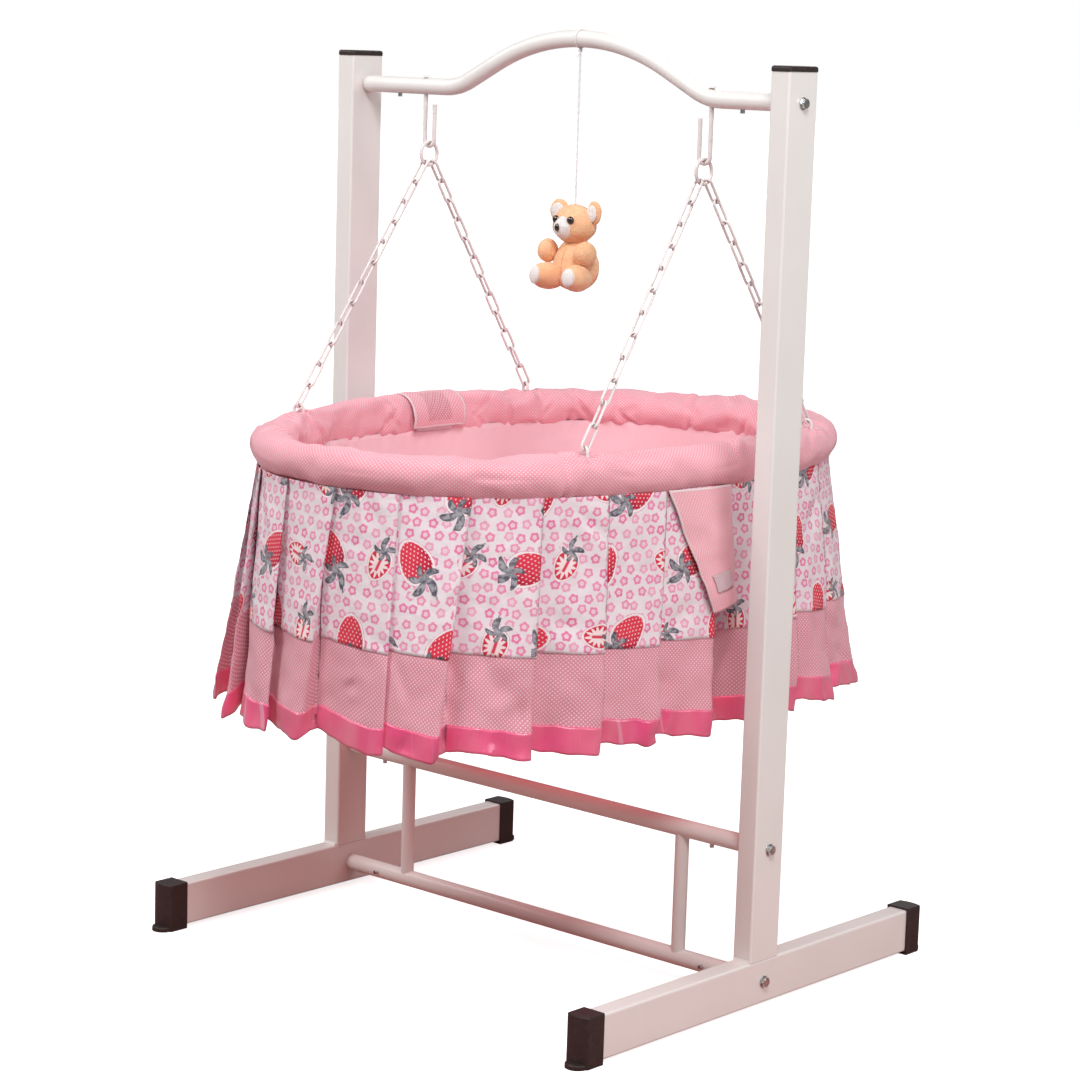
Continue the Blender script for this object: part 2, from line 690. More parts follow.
def pad_relief(s, t, girth, around):
    """How far the cover stands proud of, or sinks below, the pad's round section."""
    relief = np.zeros_like(s)
    random = np.random.default_rng(11)
    inner = girth / 2
    for number in range(INNER_CREASES):
        place = random.uniform(0, around)
        middle = inner + random.normal(0, 14 * MM)
        half = random.uniform(10, 26) * MM
        lean = random.uniform(-1.1, 1.1)
        start = (place - half * lean, middle - half)
        finish = (place + half * lean, middle + half)
        relief += crease(s, t, start, finish, random.uniform(2.5, 5.0) * MM, random.uniform(1.0, 3.2) * MM)
    for number in range(LOWER_CREASES):
        place = random.uniform(0, around)
        low = -girth * 0.20 + random.normal(0, 5 * MM)
        start = (place, low)
        finish = (place + random.normal(0, 10) * MM, low + random.uniform(10, 34) * MM)
        relief += crease(s, t, start, finish, random.uniform(2.0, 4.0) * MM, random.uniform(0.6, 1.8) * MM)
    for number in range(LONG_CREASES):
        place = random.uniform(0, around)
        middle = random.uniform(-0.1, 0.25) * girth
        start = (place, middle)
        finish = (place + random.uniform(30, 80) * MM, middle + random.normal(0, 7) * MM)
        relief += crease(s, t, start, finish, random.uniform(3.0, 6.0) * MM, random.uniform(0.4, 1.0) * MM)
    for share in eye_shares():
        eye_s, eye_t = share * around, girth / 4
        away = np.hypot(s - eye_s, t - eye_t)
        relief -= 3.2 * MM * np.exp(-(away / (9 * MM)) ** 2)
        spokes = np.cos(7 * np.arctan2(t - eye_t, s - eye_s) + 1.0)
        relief += 1.3 * MM * spokes * np.exp(-((away - 13 * MM) / (10 * MM)) ** 2)
    return relief


def blurred(grid, passes):
    """Each point averaged with its neighbours, over and over; the grid closes on itself both ways."""
    for number in range(passes):
        for axis in (0, 1):
            grid = (np.roll(grid, 1, axis) + grid * 2 + np.roll(grid, -1, axis)) / 4
    return grid


def puff_up(made):
    """Run the cloth simulation of the pad's cover, held where it is sewn."""
    cloth = made.modifiers.new("cloth", "CLOTH")
    settings = cloth.settings
    settings.quality = 5
    settings.mass = 0.2
    settings.shear_stiffness = 6.0
    settings.use_pressure = True
    settings.uniform_pressure_force = 4.0
    settings.vertex_group_mass = "sewn"
    settings.shrink_min = -COVER_EXCESS
    settings.effector_weights.gravity = 0.0
    cloth.collision_settings.use_collision = False
    cloth.point_cache.frame_end = SIMULATED_STEPS
    for step in range(SIMULATED_STEPS):
        bpy.context.scene.frame_set(step + 1)


def loose_cover():
    """How far folds in the cover rise and sink, from a cloth simulation, at each row and column of the pad.

    The cover is cut too large, sewn down along its seam and at the four chain eyes, then puffed up.
    """
    columns, rows = PAD_COLUMNS // 2, PAD_ROWS // 2
    share = np.arange(columns) / columns
    angle = SEAM_ANGLE + np.arange(rows) / rows * TURN
    points, normals, around = rim_line(share)
    section = np.cos(angle)[:, None, None] * normals + np.sin(angle)[:, None, None] * UP
    core = points + UP * RIM_Z
    cover = core + section * (PAD - COVER_GAP)
    mesh = closed(grid_mesh("loose_cover", cover, np.zeros((rows + 1, columns + 1, 2)), True, True))
    made = add_object("loose_cover", mesh)
    sewn = made.vertex_groups.new(name="sewn")
    sewn.add(list(range(columns)), 1.0, "REPLACE")
    for share_of_eye in eye_shares():
        away = np.linalg.norm(cover - eye_place(share_of_eye), axis=2).ravel()
        sewn.add(np.flatnonzero(away < 9 * MM).tolist(), 1.0, "REPLACE")
    puff_up(made)
    result = made.evaluated_get(bpy.context.evaluated_depsgraph_get()).to_mesh()
    moved = np.zeros(rows * columns * 3)
    result.vertices.foreach_get("co", moved)
    bpy.data.objects.remove(made)
    bpy.context.scene.frame_set(1)
    reach = ((moved.reshape(rows, columns, 3) - core) * section).sum(axis=2)
    folds = blurred(reach, 1) - blurred(reach, 24)
    folds = FOLD_LIMIT * np.tanh(folds * 1.3 / FOLD_LIMIT)
    return blurred(np.kron(folds, np.ones((2, 2))), 1)


def eye_place(share):
    """Point on top of the pad where a chain eye comes through."""
    points, normals, around = rim_line(np.array([share]))
    return points[0] + UP * (RIM_Z + PAD)


def near_share(x, y):
    """Share of the way round the rim nearest to a plan point."""
    share = np.linspace(0, 1, 4001)[:-1]
    points, normals, length = rim_line(share)
    return share[np.hypot(points[:, 0] - x, points[:, 1] - y).argmin()]


def joins_and_folds(s, t, girth, around):
    """How far the sewn joins across the pad and the deep folds of its cover change its radius."""
    relief = np.zeros_like(s)
    for x, y in PAD_SEAMS:
        away = (s - near_share(x, y) * around + around / 2) % around - around / 2
        relief -= 2.6 * MM * np.exp(-(away / (2.6 * MM)) ** 2)
        relief += 0.8 * MM * np.exp(-((away - 7 * MM) / (4 * MM)) ** 2)
    high = girth * 0.27
    for x, y, tilt, strength in PAD_DENTS:
        middle = near_share(x, y) * around
        start = (middle - 16 * MM, high - tilt)
        finish = (middle + 14 * MM, high + tilt)
        relief += crease(s, t, start, finish, 7 * MM, strength * DENT)
    return relief


def rim_pad(material):
    """Padded cover of the rim."""
    share = np.arange(PAD_COLUMNS + 1) / PAD_COLUMNS
    turn = np.arange(PAD_ROWS + 1) / PAD_ROWS
    points, normals, around = rim_line(share[:-1])
    girth = TURN * PAD
    # The rows start at the seam, low on the outer side
    angle = SEAM_ANGLE + turn * TURN
    section = np.cos(angle)[:, None, None] * normals + np.sin(angle)[:, None, None] * UP
    core = points + np.array([0, 0, RIM_Z])
    height = np.mod(angle, TURN) / TURN * girth
    flat_s, flat_t = np.meshgrid(share[:-1] * around, height[:-1])
    on_skin = (core + section * PAD)[:-1]
    radius = PAD - 1.2 * MM + pad_relief(flat_s, flat_t, girth, around)
    radius += loose_cover() * (0.35 + 0.65 * np.sin(np.clip(height[:-1, None] / girth, 0, 1) * math.pi) ** 2)
    radius += rough(on_skin, 75 * MM, 3.0) * 2.4 * MM + rough(on_skin, 24 * MM, 9.0) * 0.9 * MM
    from_seam = np.minimum(turn, 1 - turn)[:-1, None] * girth
    radius -= 1.6 * MM * np.exp(-(from_seam / (2.2 * MM)) ** 2)
    radius += joins_and_folds(flat_s, flat_t, girth, around)
    skin = core + section[:-1] * radius[:, :, None]
    uv = cloth_map(share * around, turn * girth)
    mesh = closed(grid_mesh("rim_pad", skin, uv, True, True))
    made = piece("rim_pad", mesh, material, "basket")
    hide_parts("rim_cover", "rim_foam", "rim_ring")


# ---------------------------------------------------------------- skirt

def pleat_shape(softness):
    """One knife pleat in plan, at many points along the cloth: place in pleats, and depth from 0 to 1."""
    fine = 600
    cloth = (np.arange(3 * fine) + 0.5) / fine - 1
    turn_point = (1 + PLEAT_OVERLAP) / (1 + 2 * PLEAT_OVERLAP)
    number = np.floor(cloth)
    part = cloth - number
    place = np.where(part < turn_point,
                     -PLEAT_OVERLAP + part / turn_point * (1 + PLEAT_OVERLAP),
                     1 - (part - turn_point) / (1 - turn_point) * PLEAT_OVERLAP) + number
    depth = np.where(part < turn_point, part / turn_point, 1 - (part - turn_point) / (1 - turn_point))
    reach = np.arange(-fine // 3, fine // 3 + 1) / fine * PLEAT_FABRIC
    kernel = np.exp(-(reach / softness) ** 2)
    kernel /= kernel.sum()
    place = np.convolve(place, kernel, "same")[fine:2 * fine]
    depth = np.convolve(depth, kernel, "same")[fine:2 * fine]
    return cloth[fine:2 * fine], place, depth


def pleat_columns():
    """Shares of a pleat's cloth at which the skirt has a column: closer together at the folds."""
    even = np.arange(PLEAT_COLUMNS) / PLEAT_COLUMNS
    return even - 0.028 * np.sin(2 * TURN * (even - 0.92))


def between(column, cloth, sharp, soft, blend):
    """Values of one pleat at its columns, part way from the sharp fold above to the soft fold below."""
    return np.interp(column, cloth, sharp) * (1 - blend) + np.interp(column, cloth, soft) * blend


def pleated_rows(heights, random, lift):
    """Points of the pleated skirt at each height: sharp folds above, fuller and softer ones below."""
    cloth, sharp_place, sharp_depth = pleat_shape(0.9 * MM)
    cloth, soft_place, soft_depth = pleat_shape(7 * MM)
    column = pleat_columns()
    swell = random.uniform(0.35, 1.3, PLEATS)
    drift = random.uniform(-0.26, 0.26, PLEATS)
    belly = random.uniform(-7, 10, PLEATS) * MM
    drop = random.uniform(7, 17, PLEATS) * MM
    number = np.repeat(np.arange(PLEATS), PLEAT_COLUMNS)
    rows = []
    for z in heights:
        share = skirt_share(z)
        blend = min(1.0, share) ** 0.8
        place = np.tile(between(column, cloth, sharp_place, soft_place, blend), PLEATS)
        depth = np.tile(between(column, cloth, sharp_depth, soft_depth, blend), PLEATS)
        around = (number + place + drift[number] * share * depth) / PLEATS
        half_x, half_y, power = skirt_outline(share)
        plan, normal, length = on_oval(half_x, half_y, power, FIRST_FOLD + around - 1 / PLEATS)
        fold = (3.6 + 34 * share ** 1.1 * swell[number]) * MM
        bow = belly[number] * share * np.sin(math.pi * depth)
        out = fold * (depth - 1) + bow + lift
        level = z + drop[number] * share ** 1.6 * (0.5 - depth)
        rows.append(plan + normal * out[:, None] + UP * level[:, None])
    return np.array(rows)


def skirt_share(z):
    """How far down the skirt a height is: 0 at its top edge, 1 at the hem."""
    return np.maximum(0.0, (print_high.z - z) / (print_high.z - hem_low.z))


def skirt_outline(share):
    """Half sizes and power of the skirt's oval outline, at a share of the way down."""
    half_x = RIM_X + SKIRT_TOP_OUTSET + share * (hem_high.x - RIM_X - SKIRT_TOP_OUTSET)
    half_y = RIM_Y + SKIRT_TOP_OUTSET + share * (hem_high.y - RIM_Y - SKIRT_TOP_OUTSET)
    return half_x, half_y, RIM_POWER + share * (HEM_POWER - RIM_POWER)


def soft_creases(along, heights, random):
    """Slanting creases pressed into the skirt at random, as depths along the cloth and down it."""
    s, t = np.meshgrid(along, heights)
    relief = np.zeros_like(s)
    for number in range(SOFT_FOLDS):
        start = (random.uniform(0, PLEATS * PLEAT_FABRIC), random.uniform(hem_low.z, print_high.z))
        lean = random.uniform(-1.0, 1.0)
        reach = random.uniform(20, 70) * MM
        finish = (start[0] + reach * math.sin(lean), start[1] - reach * math.cos(lean))
        width = random.uniform(5, 11) * MM
        relief += crease(s, t, start, finish, width, random.uniform(1.0, 3.2) * MM)
    return relief


def skirt_sheet(name, top_z, bottom_z, rows, lift, material, thickness):
    """Part of the pleated skirt between two heights; lift moves it outwards over the piece beside it."""
    random = np.random.default_rng(5)
    heights = np.linspace(top_z, bottom_z, rows)
    points = pleated_rows(heights, random, lift)
    columns = points.shape[1]
    share = skirt_share(heights)[:, None]
    half_x, half_y, power = skirt_outline(0.0)
    plan, normal, length = on_oval(half_x, half_y, power, FIRST_FOLD + np.arange(columns) / columns)
    drape = rough(points * (1, 1, 0.35), 52 * MM, 2.0) * 9 * MM + rough(points, 30 * MM, 6.0) * 3.0 * MM
    flutter = rough(points * (1, 1, 0.35), 21 * MM, 4.0) * 5.5 * MM
    points += normal[None] * (drape * share + flutter * share ** 5 - 1.5 * MM * share)[:, :, None]
    number = np.repeat(np.arange(PLEATS), PLEAT_COLUMNS)
    along = (np.tile(pleat_columns(), PLEATS) + number) * PLEAT_FABRIC
    rumple = rough(points, 13 * MM, 8.0) * 0.7 * MM + soft_creases(along, heights, random)
    points += normal[None] * rumple[:, :, None]
    wave = rough(points * (1, 1, 0), 60 * MM, 5.0) * 4 * MM + rough(points * (1, 1, 0), 20 * MM, 3.0) * 4 * MM
    points[:, :, 2] += wave * share ** 4
    uv = cloth_map(np.append(along, PLEATS * PLEAT_FABRIC), heights)
    made = piece(name, grid_mesh(name, points, uv, False, True), material, "basket")
    thicken(made, thickness)
    return made


def skirt(print_material, band_material, ribbon_material):
    """Printed panel, dotted band and satin hem, each lapped over the next."""
    printed = skirt_sheet("skirt_print_panel", RIM_Z - 18 * MM, print_low.z - 1 * MM, 46, 0.5 * MM,
                          print_material, 0.7 * MM)
    band = skirt_sheet("skirt_dotted_band", print_low.z + 6 * MM, band_low.z - 18 * MM, 32, -0.4 * MM,
                       band_material, 0.7 * MM)
    ribbon = skirt_sheet("skirt_satin_hem", band_low.z, hem_low.z, 10, -0.4 * MM, ribbon_material,
                         2.2 * MM)
    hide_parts("skirt_print")
    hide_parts("skirt_band")
    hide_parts("skirt_ribbon")


# ---------------------------------------------------------------- bag and mattress

def bag_rows(share):
    """Rows of points down the bag's gathered wall, round its bottom edge and in over its floor.

    With the rows comes the length of cloth above each.
    """
    rows, above = [], []
    run = 0.0
    for row in range(BAG_WALL_ROWS + 1):
        z = BAG_TOP - (BAG_TOP - bag_low.z - BAG_CORNER) * row / BAG_WALL_ROWS
        part = min(1.0, max(0.0, (bag_high.z - z) / (bag_high.z - bag_low.z)))
        inset = BAG_TOP_INSET + part * (BAG_BOTTOM_INSET - BAG_TOP_INSET) - 3 * MM * math.sin(math.pi * part)
        plan, normal, length = rim_line(share, inset)
        gather = np.cos(share * TURN * 90) + 0.7 * np.cos(share * TURN * 57 + 1.0)
        shirring = gather * 0.8 * MM * math.exp(-part / 0.10)
        rows.append(plan + UP * z + normal * shirring[:, None])
        above.append(run)
        run += (BAG_TOP - bag_low.z) / BAG_WALL_ROWS
    for step in range(1, BAG_EDGE_ROWS + 1):
        angle = step / BAG_EDGE_ROWS * math.pi / 2
        inset = BAG_BOTTOM_INSET + BAG_CORNER * (1 - math.cos(angle))
        plan, normal, length = rim_line(share, inset)
        rows.append(plan + UP * (bag_low.z + BAG_CORNER * (1 - math.sin(angle))))
        above.append(run)
        run += BAG_CORNER * 0.31
    floor = rows[-1]
    for step in range(1, BAG_FLOOR_ROWS + 1):
        inwards = 1 - step / BAG_FLOOR_ROWS * 0.985
        rows.append(floor * (inwards, inwards, 1.0))
        above.append(run)
        run += RIM_X / BAG_FLOOR_ROWS
    return np.array(rows), np.array(above)


def bag_sheet(material):
    """Bag that hangs from the inner side of the rim, a little slack in its wall."""
    columns = 480
    share = np.arange(columns + 1) / columns
    points, above = bag_rows(share[:-1])
    down = (BAG_TOP - points[:, :, 2:3]) / (BAG_TOP - bag_low.z)
    outwards = points * (1.0, 1.0, 0.0)
    outwards /= np.maximum(np.linalg.norm(outwards, axis=2)[:, :, None], 1e-6)
    sag = rough(points, 110 * MM, 1.0) * 3.5 * MM + rough(points, 34 * MM, 7.0) * 1.6 * MM
    loose = sag[:, :, None] * np.clip(down * 3, 0, 1) * np.clip((1 - down) * 6, 0, 1)
    points[:BAG_WALL_ROWS] += (outwards * loose)[:BAG_WALL_ROWS]
    uv = cloth_map(share * 1.75, above)
    mesh = closed(grid_mesh("liner_tub", points, uv, False, True), bag_low.z + BAG_CORNER)
    made = piece("liner_tub", mesh, material, "basket")
    thicken(made, LINER_THICKNESS)
    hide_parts("liner_bag")


def mattress_rows(plan, normal):
    """Rows of points out along the mattress's underside, up its side and in over its crowned top.

    With the rows comes the place of each along the cloth.
    """
    low, high = mattress_low.z, mattress_high.z
    half_x = mattress_high.x
    points, along = [], []
    for ring in range(1, MATTRESS_RINGS + 1):
        part = ring / MATTRESS_RINGS
        points.append(plan * max(part, 0.015) + UP * (low + 0.5 * MM))
        along.append(-part * half_x)
    for row in range(1, MATTRESS_SIDE_ROWS):
        part = row / MATTRESS_SIDE_ROWS
        bulge = math.sin(math.pi * part) * 3 * MM - 3 * MM
        points.append(plan + normal * bulge + UP * (low + (high - low - MATTRESS_CROWN) * part))
        along.append(part * (high - low))
    for ring in range(MATTRESS_RINGS, 0, -1):
        part = ring / MATTRESS_RINGS
        crown = (1 - part ** 3) * MATTRESS_CROWN
        points.append((plan - normal * 3 * MM) * max(part, 0.015) + UP * (high - MATTRESS_CROWN + crown))
        along.append((high - low) + (1 - part) * half_x)
    return np.array(points), np.array(along)


def mattress_pad(material):
    """Thin crowned mattress."""
    columns, rings = 320, MATTRESS_RINGS
    share = np.arange(columns + 1) / columns
    plan, normal, length = on_oval(mattress_high.x, mattress_high.y, RIM_POWER, share[:-1])
    points, along = mattress_rows(plan, normal)
    dimple = rough(points, 60 * MM, 3.0) * 2 * MM + rough(points, 20 * MM, 5.0) * 0.8 * MM
    points[rings:, :, 2] += dimple[rings:] * 0.8
    uv = cloth_map(share * length, along)
    flat = np.r_[0:rings, len(points) - rings:len(points)]
    uv[flat] = np.concatenate([points, points[:, :1]], axis=1)[flat, :, :2]
    mesh = closed(grid_mesh("mattress_pad", points, uv, False, True))
    made = piece("mattress_pad", mesh, material, "basket")
    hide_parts("mattress")


def mattress_piping(material):
    """Welts round the upper and lower edges of the mattress."""
    share = np.arange(400) / 400
    inset = 2.4 * MM
    edge, normal, length = on_oval(mattress_high.x - inset, mattress_high.y - inset, RIM_POWER, share)
    heights = {"mattress_piping_top": mattress_high.z - MATTRESS_CROWN,
               "mattress_piping_bottom": mattress_low.z + 2 * MM}
    for name, z in heights.items():
        mesh = tube_mesh(name, edge + UP * z, PIPING_RADIUS, 8, 0, True)
        piece(name, mesh, material, "basket")


# ---------------------------------------------------------------- straps

TAPE = 0.9 * MM      # thickness of the hook and loop tape


def strap_sheet(name, points, width, length, material, thickness=1.0 * MM):
    """Flat strip of cloth or tape through a grid of points."""
    rows, columns = points.shape[:2]
    uv = cloth_map(np.linspace(0, width, columns), np.linspace(0, length, rows))
    made = piece(name, grid_mesh(name, points, uv), material, "basket")
    thicken(made, thickness)
    return made


def on_left_rim(y, angle, reach):
    """Points round the -X side of the rim: a row for each angle up from outwards, a column for each y."""
    points = np.zeros((len(angle), len(y), 3))
    x = -RIM_X * (1 - abs(y / RIM_Y) ** RIM_POWER) ** (1 / RIM_POWER)
    points[:, :, 0] = x - np.cos(angle)[:, None] * reach
    points[:, :, 1] = y
    points[:, :, 2] = RIM_Z + np.sin(angle)[:, None] * reach
    return points


def left_strap():
    """Strap folded up over the pad and laid inside the basket."""
    low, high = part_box("lock_strap_left")
    columns, rows = 40, 70
    start, finish = math.radians(-50), math.radians(207)
    width = high.y - low.y
    length = (finish - start) * (PAD + 1.2 * MM)
    material = dotted_cloth("strap_cloth_left", srgb(243, 176, 188), srgb(226, 142, 158), width, length,
                            (22 * MM, 62 * MM, length - 46 * MM, length - 8 * MM))
    y = np.linspace(low.y, high.y, columns)
    angle = np.linspace(start, finish, rows)
    reach = PAD + 1.5 * MM
    share = np.linspace(0, 1, rows)[:, None]
    lift = rough(on_left_rim(y, angle, reach), 26 * MM, 2.0) * 1.0 * MM + 0.8 * MM + share ** 6 * 1.5 * MM
    points = on_left_rim(y, angle, reach + np.abs(lift))
    ragged = rough(points, 40 * MM, 6.0) * 3.0 + rough(points, 9 * MM, 3.0) * 1.2
    points[:, :, 1] += (ragged + share * 3.0) * MM
    made = strap_sheet("lock_strap_left_cloth", points, width, length, material)
    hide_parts("lock_strap_left")


def skirt_face_x(y, z):
    """How far out the skirt reaches on the +X side at a given place."""
    half_x, half_y, power = skirt_outline((print_high.z - z) / (print_high.z - hem_low.z))
    return half_x * (1 - np.abs(y / half_y) ** power) ** (1 / power)


def right_strap():
    """Strap that hangs loose outside the skirt, its far edge curled under."""
    low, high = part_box("lock_strap_right")
    columns, rows = 44, 70
    width, length = 96 * MM, high.z - low.z
    material = dotted_cloth("strap_cloth_right", srgb(247, 184, 194), srgb(234, 152, 166), width,
                            length + 8 * MM)
    across = np.linspace(0, 1, columns)[None, :] + np.zeros((rows, 1))
    down = np.linspace(-0.05, 1, rows)[:, None] + np.zeros((1, columns))
    near = low.y + (-44 * MM - low.y) * down
    far = -6 * MM + (high.y + 6 * MM) * down
    y = near + (far - near) * across
    z = high.z - down * (high.z - low.z) + across * down * 14 * MM
    belly = np.sin(math.pi * across) * (2.5 * MM + 4 * MM * down)
    curl = np.clip((across - 0.75) / 0.25, 0, 1) ** 2 * 5 * MM * down
    x = skirt_face_x(y, z) + 2.2 * MM + belly - curl + 2 * MM * down
    points = np.stack([x, y, z], -1)
    rumple = rough(points, 34 * MM, 4.0) * 3.0 * MM + rough(points, 12 * MM, 7.0) * 0.7 * MM
    points[:, :, 0] += rumple * np.clip(down * 3, 0.15, 1)
    points[:, :, 1] += rough(points * (0, 0, 1), 24 * MM, 2.0) * 2.0 * MM * np.clip(down * 3, 0, 1)
    made = strap_sheet("lock_strap_right_cloth", points, width, length, material)
    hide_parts("lock_strap_right")
    return points


def patches(material, strap_points):
    """Hook tape: a square near the end of the hanging strap, a strip on the rim at the other strap's end."""
    rows, columns = strap_points.shape[:2]
    square = strap_points[int(rows * 0.71):int(rows * 0.86), int(columns * 0.22):int(columns * 0.72)].copy()
    square[:, :, 0] += 1.6 * MM
    made = strap_sheet("strap_hook_tape", square, 40 * MM, 20 * MM, material, TAPE)
    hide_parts("strap_patches")
    low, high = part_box("lock_strap_left")
    y = np.linspace(low.y + 12 * MM, high.y - 14 * MM, 24)
    angle = np.linspace(math.radians(203), math.radians(222), 10)
    strip = on_left_rim(y, angle, PAD + 1.1 * MM)
    strap_sheet("rim_loop_tape", strip, 50 * MM, 9 * MM, material, TAPE)


# ---------------------------------------------------------------- toy

def ball_mesh(name, centre, half, lean=0.0, turn=0.0, pile=0.35, shape=None):
    """Stuffed ball made from a subdivided cube; centre and half sizes in millimetres from the head's top."""
    work = bmesh.new()
    bmesh.ops.create_cube(work, size=2.0)
    bmesh.ops.subdivide_edges(work, edges=work.edges, cuts=31, use_grid_fill=True)
    rotation = Matrix.Rotation(math.radians(turn), 3, "Z") @ Matrix.Rotation(math.radians(lean), 3, "X")
    middle = Vector((TOY_X, 0, TOY_Z)) + Vector(centre) * MM
    for vert in work.verts:
        unit = vert.co.normalized()
        if shape:
            unit = shape(unit)
        local = Vector((unit.x * half[0], unit.y * half[1], unit.z * half[2])) * MM
        spot = rotation @ local
        lump = noise.noise((spot + middle) / (9 * MM)) * 0.45
        lump += noise.noise((spot + middle) / (1.3 * MM)) * pile
        vert.co = middle + spot + (rotation @ unit).normalized() * lump * MM
    mesh = bpy.data.meshes.new(name)
    work.to_mesh(mesh)
    work.free()
    return mesh


def toy_piece(name, node, centre, half, material, lean=0.0, turn=0.0, pile=0.35, shape=None, both=False):
    """One ball of the toy, or a mirrored pair of them. A material comes with the slot it belongs in."""
    look, slot = material
    sides = ((1, "right"), (-1, "left")) if both else ((1, ""),)
    for side, label in sides:
        full_name = name + ("_" + label if both else "")
        place = (centre[0] * side, centre[1], centre[2])
        mesh = ball_mesh(full_name, place, half, lean, turn * side, pile, shape)
        made = piece(full_name, mesh, look, "bear")
        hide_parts(node)


def pear(unit):
    """Fuller below, narrower above."""
    swell = 1.0 - 0.16 * unit.z
    return Vector((unit.x * swell, unit.y * swell, unit.z))


def cheeks(unit):
    """Head with full cheeks and a flatter back."""
    swell = 1.0 + 0.07 * math.exp(-((unit.z + 0.35) / 0.4) ** 2)
    return Vector((unit.x * swell, unit.y * (0.93 if unit.y > 0 else 1.0), unit.z))


def snout(unit):
    """Muzzle that runs up between the eyes."""
    upper = max(0.0, unit.z)
    height = unit.z if unit.z < 0 else unit.z * 0.86
    return Vector((unit.x * (1.08 - 0.20 * upper), unit.y * (1.0 - 0.2 * upper), height))


def cupped(unit):
    """Ear: a disc hollowed on its front face."""
    hollow = 0.75 * math.exp(-(unit.x ** 2 + unit.z ** 2) / 0.35) if unit.y < 0 else 0.0
    return Vector((unit.x, unit.y * (1.0 - hollow), unit.z))


def bear():
    """Plush bear that sits, in balls of stuffed plush; all places and half sizes in millimetres."""
    peach = (plush("peach_plush", srgb(255, 222, 184), srgb(253, 180, 132)), "plush_peach")
    white = (plush("white_plush", srgb(255, 252, 249), srgb(236, 226, 222)), "plush_white")
    bead = (glossy_bead(), "eye_plastic")
    toy_piece("toy_head", "bear_head", (0, 0, -23), (26, 23, 22.5), peach, shape=cheeks)
    toy_piece("toy_body", "bear_body", (0, 4, -68), (27.5, 25, 31), peach, shape=pear)
    toy_piece("toy_leg", "bear_legs", (21.5, -19, -82), (15.5, 22, 15.5), peach, -6, 12, both=True)
    toy_piece("toy_arm", "bear_arms", (28, -13, -54), (11.5, 13.5, 13.5), peach, 25, -20, both=True)
    toy_piece("toy_ear", "bear_ears", (26, 3, -9), (12, 5, 13.5), peach, 0, -12, shape=cupped, both=True)
    toy_piece("toy_inner_ear", "bear_inner_ears", (25.5, -1.0, -9.5), (8.5, 2.6, 9.5), white, 0, -12, 0.25,
              both=True)
    toy_piece("toy_muzzle", "bear_muzzle", (0, -19, -25), (10.5, 11.5, 14), white, 0, 0, 0.25, snout)
    toy_piece("toy_eye", "bear_eyes", (10.6, -20.3, -17.5), (4.6, 3.5, 4.6), bead, pile=0.0, both=True)
    toy_piece("toy_nose", "bear_nose", (0, -30.4, -26), (3.2, 2.4, 4.6), bead, pile=0.0)
    toy_piece("toy_foot_pad", "bear_foot_pads", (25.2, -37.5, -80.5), (8.2, 4.6, 10.2), white, -6, 12, 0.25,
              both=True)
    stitches(thread("seam_thread", srgb(246, 178, 134)))


def stitches(material):
    """Seam down the belly."""
    seam = []
    for step in range(40):
        angle = math.radians(-62 + step * 2.6)
        swell = 1.0 - 0.16 * math.sin(angle)
        forward = 4 * MM - 25.3 * MM * math.cos(angle) * swell
        seam.append((TOY_X, forward, TOY_Z - 68 * MM + 31.2 * MM * math.sin(angle)))
    mesh = tube_mesh("toy_belly_seam", seam, 0.3 * MM, 6)
    piece("toy_belly_seam", mesh, material, "bear")


def cord_piece(name, path, thickness, sides, material, body, loop=False):
    """Length of twisted cord along a path; thickness is its radius over that of the frame's cord."""
    mesh = tube_mesh(name, path, CORD * thickness, sides, 2, loop)
    made = piece(name, mesh, material, body)
    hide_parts(body)


def loop_path(loop_z, reach):
    """Two turns of cord round the bar."""
    path = []
    for turn in (-1, 1):
        for step in range(70):
            angle = -math.pi / 2 + step / 70 * TURN
            across = (turn * 0.9 * CORD) * math.sin(step / 70 * math.pi)
            path.append((TOY_X + across, reach * math.cos(angle), loop_z + reach * math.sin(angle)))
    return path


def knot_path(knot_z):
    """Overhand knot: a trefoil curve."""
    path = []
    for step in range(90):
        angle = step / 90 * TURN
        radius = 1.25 + 0.62 * math.cos(3 * angle)
        path.append((TOY_X + radius * math.cos(2 * angle) * MM, 0.9 * math.sin(3 * angle) * MM,
                     knot_z + radius * math.sin(2 * angle) * 1.15 * MM))
    return path


def cord_pieces():
    """Cord the toy hangs on: straight length, loop round the bar, knot and loose end."""
    white = thread("white_cord", srgb(252, 250, 250))
    top = cord_high.z
    low = TOY_Z - 0.6 * MM
    straight = [(TOY_X, 0, top + (low - top) * step / 240) for step in range(241)]
    cord_piece("hanging_cord", straight, 1.3, 10, white, "toy_cord")
    bar_low, bar_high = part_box("top_bar")
    bar_radius = (bar_high.y - bar_low.y) / 2
    loop_z = knot_high.z - 2 * CORD - bar_radius
    reach = bar_radius + CORD * 1.05
    knot_z = loop_z - reach - 2.3 * MM
    tail = [(TOY_X + (1.5 * s + 0.6 * math.sin(3 * s)) * MM, -6.0 * s * MM, knot_z - 7.0 * s * MM)
            for s in np.linspace(0, 1, 24)]
    cord_piece("cord_loop", loop_path(loop_z, reach), 0.9, 10, white, "toy_loop", True)
    cord_piece("cord_knot", knot_path(knot_z), 0.95, 8, white, "toy_loop", True)
    cord_piece("cord_end", tail, 0.9, 8, white, "toy_loop")


# ---------------------------------------------------------------- carried-over frame

